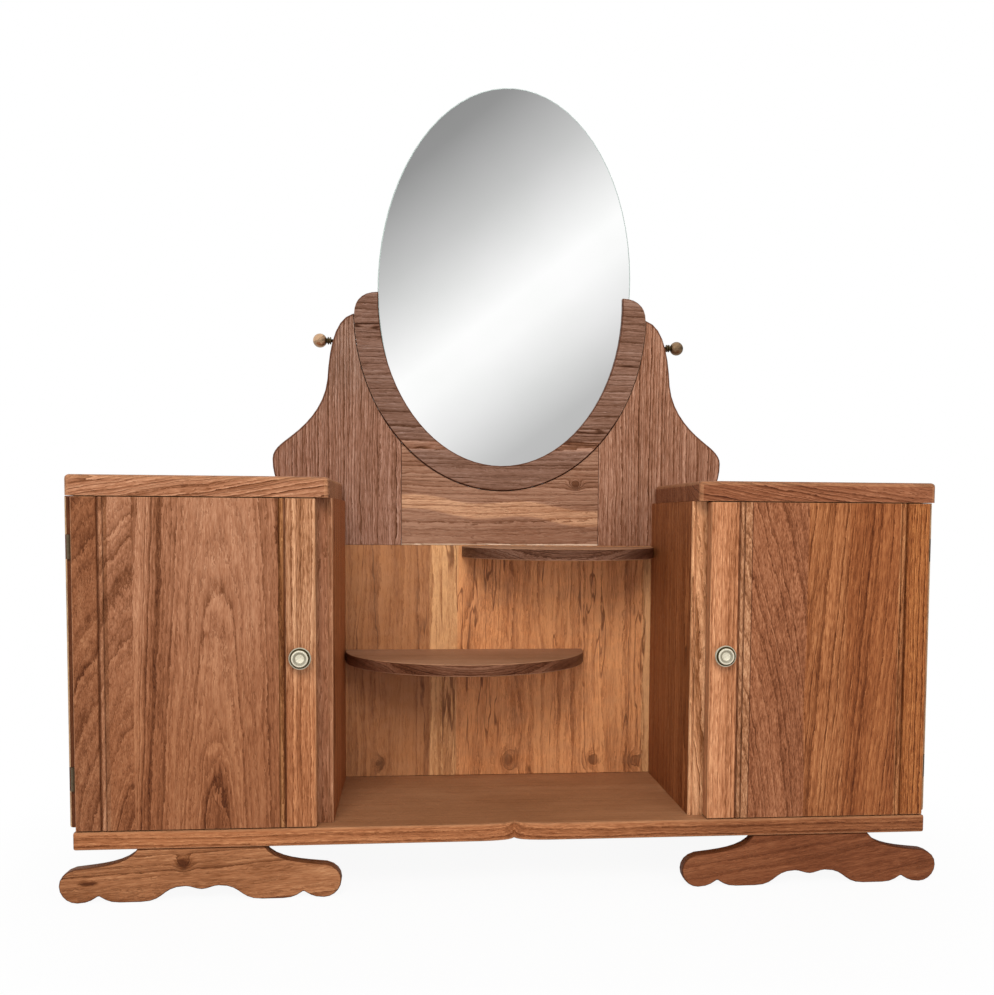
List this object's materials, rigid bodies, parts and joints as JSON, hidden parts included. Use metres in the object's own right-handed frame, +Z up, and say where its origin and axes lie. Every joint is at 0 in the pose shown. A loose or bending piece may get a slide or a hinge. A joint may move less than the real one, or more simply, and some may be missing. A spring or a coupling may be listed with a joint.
{
  "type": "dressing table with mirror",
  "caption": "Low oak dressing table with a door cabinet at each end, an open niche with half-round shelves between them, and a tilting oval mirror on a shaped board.",
  "frame": {"origin": "on the floor, under the middle of the whole object's box", "axes": "+X to the right as seen from the front, -Y towards the front where the doors and the mirror face, +Z up"},
  "size_m": [1.144, 0.3198, 1.1259],
  "materials": {
    "oak": "waxed reddish-brown oak with open dark grain",
    "greyed_oak": "dry, greyer brown oak",
    "inner_wood": "plain unpolished wood",
    "aged_brass": "aged turned brass",
    "dark_iron": "dark worn iron",
    "silvered_glass": "polished silvered glass with a ground edge"
  },
  "bodies": {
    "carcass": {"base_board": "oak", "niche_back": "oak", "half_shelf_lower": "oak", "half_shelf_upper": "oak", "mirror_board_centre": "greyed_oak", "mirror_board_left_wing": "greyed_oak", "mirror_board_right_wing": "greyed_oak", "mirror_board_batten": "inner_wood", "front_foot_left": "oak", "rear_foot_left": "oak", "left_top": "oak", "left_inner_side": "oak", "left_outer_side": "oak", "left_back_panel": "inner_wood", "left_shelf": "inner_wood", "left_shelf_cleat_inner": "inner_wood", "left_shelf_cleat_outer": "inner_wood", "left_catch": "aged_brass", "left_upper_hinge_carcass_leaf": "dark_iron", "left_lower_hinge_carcass_leaf": "dark_iron", "front_foot_right": "oak", "rear_foot_right": "oak", "right_top": "oak", "right_inner_side": "oak", "right_outer_side": "oak", "right_back_panel": "inner_wood", "right_shelf": "inner_wood", "right_shelf_cleat_inner": "inner_wood", "right_shelf_cleat_outer": "inner_wood", "right_catch": "aged_brass", "right_upper_hinge_carcass_leaf": "dark_iron", "right_lower_hinge_carcass_leaf": "dark_iron"},
    "left_door": {"left_door_outer_stile": "oak", "left_door_panel": "oak", "left_door_inner_stile": "oak", "left_door_upper_batten": "inner_wood", "left_door_lower_batten": "inner_wood", "left_door_knob": "aged_brass", "left_door_knob_rose": "aged_brass", "left_door_knob_nut": "aged_brass", "left_upper_hinge_door_leaf": "dark_iron", "left_lower_hinge_door_leaf": "dark_iron", "left_catch_strike": "aged_brass"},
    "right_door": {"right_door_outer_stile": "oak", "right_door_panel": "oak", "right_door_inner_stile": "oak", "right_door_upper_batten": "inner_wood", "right_door_lower_batten": "inner_wood", "right_door_knob": "aged_brass", "right_door_knob_rose": "aged_brass", "right_door_knob_nut": "aged_brass", "right_upper_hinge_door_leaf": "dark_iron", "right_lower_hinge_door_leaf": "dark_iron", "right_catch_strike": "aged_brass"},
    "mirror": {"mirror_crescent": "greyed_oak", "mirror_glass": "silvered_glass", "mirror_backing": "inner_wood"},
    "left_screw": {"left_tilt_screw": "aged_brass"},
    "right_screw": {"right_tilt_screw": "aged_brass"}
  },
  "joints": [
    {"name": "left_door_hinge", "type": "hinge", "parent": "carcass", "child": "left_door", "pos_m": [-0.5577, -0.12305, 0.301], "axis": [0, 0, -1], "range_deg": [0, 170]},
    {"name": "right_door_hinge", "type": "hinge", "parent": "carcass", "child": "right_door", "pos_m": [0.5577, -0.12305, 0.301], "axis": [0, 0, 1], "range_deg": [0, 170]},
    {"name": "mirror_tilt", "type": "hinge", "parent": "carcass", "child": "mirror", "pos_m": [0, 0.1386, 0.7481], "axis": [1, 0, 0], "range_deg": [-15, 15]},
    {"name": "left_screw_turn", "type": "hinge", "parent": "carcass", "child": "left_screw", "pos_m": [-0.2667, 0.1386, 0.7481], "axis": [-1, 0, 0], "range_deg": [0, 180]},
    {"name": "right_screw_turn", "type": "hinge", "parent": "carcass", "child": "right_screw", "pos_m": [0.2667, 0.1386, 0.7481], "axis": [1, 0, 0], "range_deg": [0, 180]}
  ]
}
